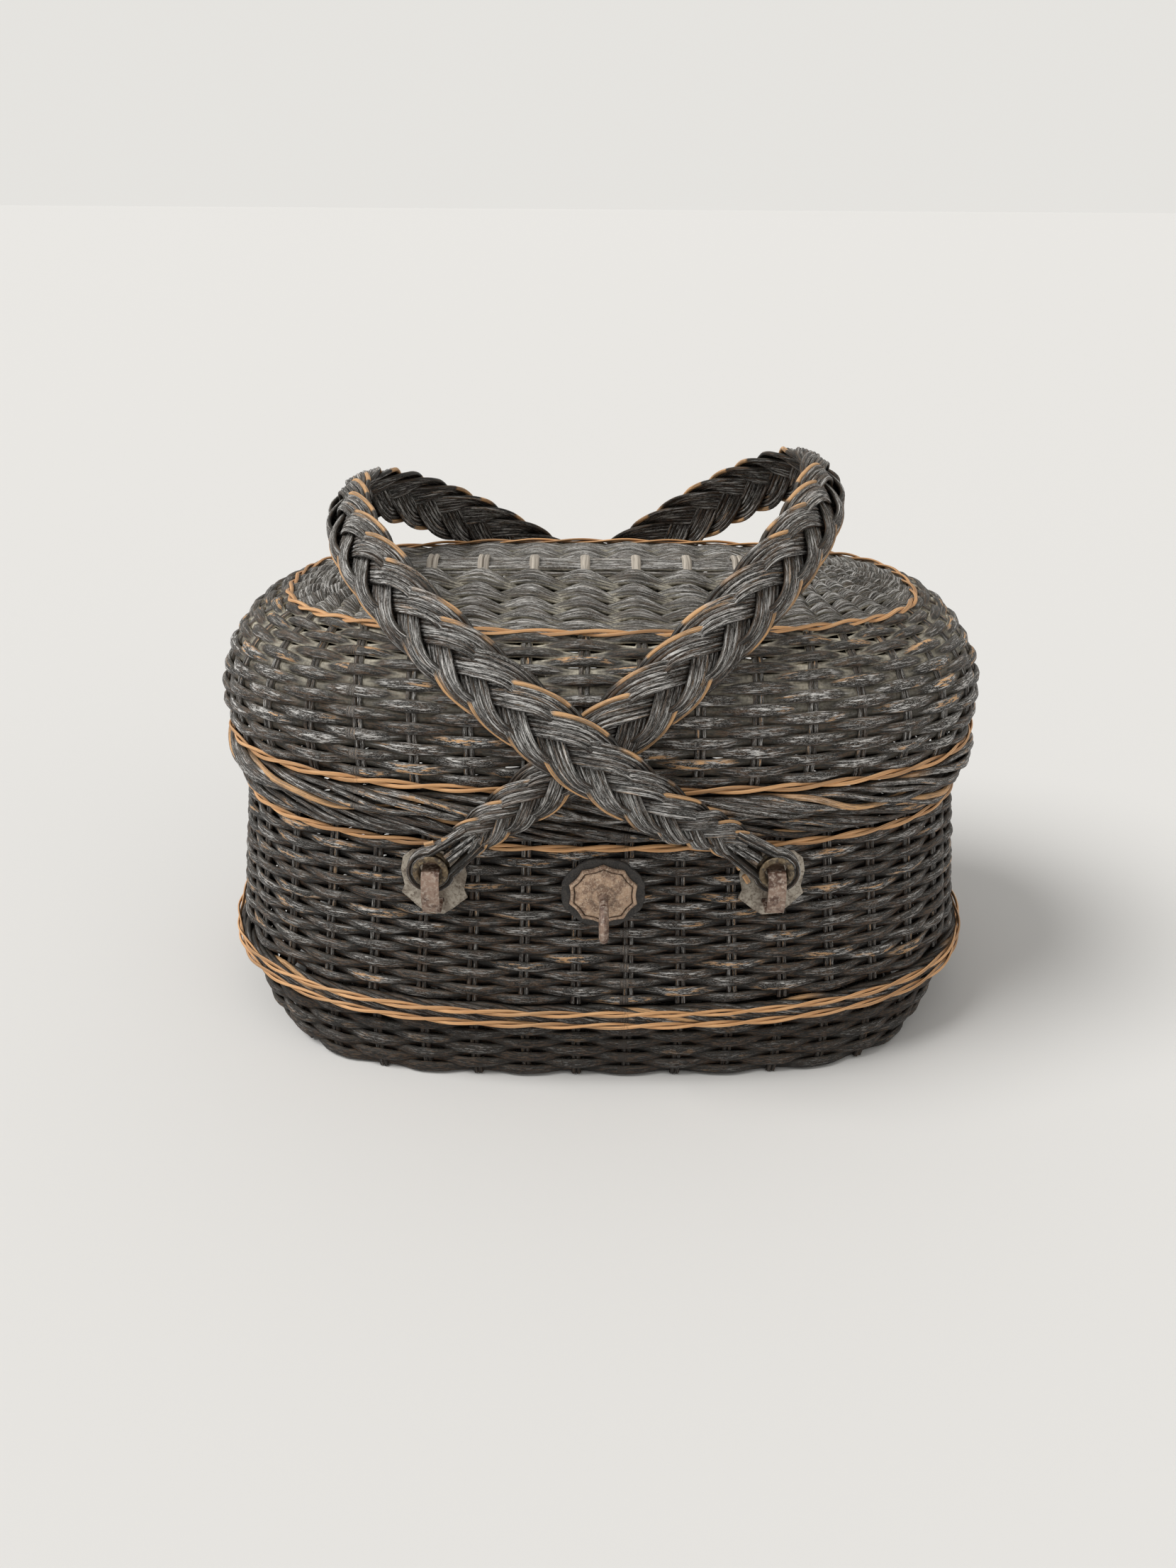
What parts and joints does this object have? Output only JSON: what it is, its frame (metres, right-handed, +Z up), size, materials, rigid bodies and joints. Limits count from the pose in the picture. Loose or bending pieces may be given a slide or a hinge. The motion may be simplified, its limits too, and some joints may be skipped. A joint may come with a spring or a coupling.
{
  "type": "wicker basket",
  "caption": "Lidded wicker market basket, rounded oblong, with crossing plaited handles hinged on iron staples and a closure eye on a scalloped plate at the front.",
  "frame": {"origin": "middle of the foot's underside, on the ground", "axes": "+X to the right along the length, +Y to the back, +Z up; the closure eye is at the front, on -Y"},
  "size_m": [0.348, 0.2475, 0.2455],
  "materials": {
    "stained_willow": "black-stained peeled rods, dusty and worn",
    "natural_willow": "unstained rods, satin",
    "dusty_willow": "worn and dusty",
    "black_leather": "aged, matt",
    "brass": "tarnished",
    "rusted_iron": "rusted, matt",
    "pale_metal": "dull grey sheet"
  },
  "bodies": {
    "basket": {"body_border": "stained_willow", "body_line": "natural_willow", "body_wall": "stained_willow", "floor_mat": "stained_willow", "foot_wall": "stained_willow", "handle_staple_back_left": "rusted_iron", "handle_staple_back_right": "rusted_iron", "handle_staple_front_left": "rusted_iron", "handle_staple_front_right": "rusted_iron", "lower_band": "stained_willow", "lower_band_line_high": "natural_willow", "lower_band_line_low": "natural_willow", "rosette": "rusted_iron", "rosette_eye": "rusted_iron", "rosette_leather": "black_leather", "staple_plate_back_left": "pale_metal", "staple_plate_back_right": "pale_metal", "staple_plate_front_left": "pale_metal", "staple_plate_front_right": "pale_metal"},
    "lid": {"lid_border": "stained_willow", "lid_line": "natural_willow", "lid_slath": "stained_willow", "lid_stick_1": "dusty_willow", "lid_stick_2": "dusty_willow", "lid_stick_3": "dusty_willow", "lid_stick_4": "dusty_willow", "lid_stick_5": "dusty_willow", "lid_stick_6": "dusty_willow", "lid_stick_7": "dusty_willow", "lid_stick_8": "dusty_willow", "lid_stick_9": "dusty_willow", "lid_top": "stained_willow", "lid_top_line": "natural_willow", "lid_wall": "stained_willow"},
    "handle_right": {"handle_right_eyelet_back": "brass", "handle_right_eyelet_front": "brass", "handle_right_loop_back": "stained_willow", "handle_right_loop_front": "stained_willow", "handle_right_strand_1": "stained_willow", "handle_right_strand_2": "stained_willow", "handle_right_strand_3": "stained_willow"},
    "handle_left": {"handle_left_eyelet_back": "brass", "handle_left_eyelet_front": "brass", "handle_left_loop_back": "stained_willow", "handle_left_loop_front": "stained_willow", "handle_left_strand_1": "stained_willow", "handle_left_strand_2": "stained_willow", "handle_left_strand_3": "stained_willow"}
  },
  "joints": [
    {"name": "lid_lift", "type": "slide", "parent": "basket", "child": "lid", "axis": [0, 0, 1], "range_m": [0, 0.105]},
    {"name": "handle_right_swing", "type": "hinge", "parent": "basket", "child": "handle_right", "pos_m": [0.068, 0, 0.1024], "axis": [0, 1, 0], "range_deg": [0, 165]},
    {"name": "handle_left_swing", "type": "hinge", "parent": "basket", "child": "handle_left", "pos_m": [-0.068, 0, 0.1024], "axis": [0, -1, 0], "range_deg": [0, 110]}
  ],
  "couplings": [
    {"joint": "handle_right_swing", "follows": "lid_lift", "rad_per_m": 27.42},
    {"joint": "handle_left_swing", "follows": "lid_lift", "rad_per_m": 18.28}
  ]
}
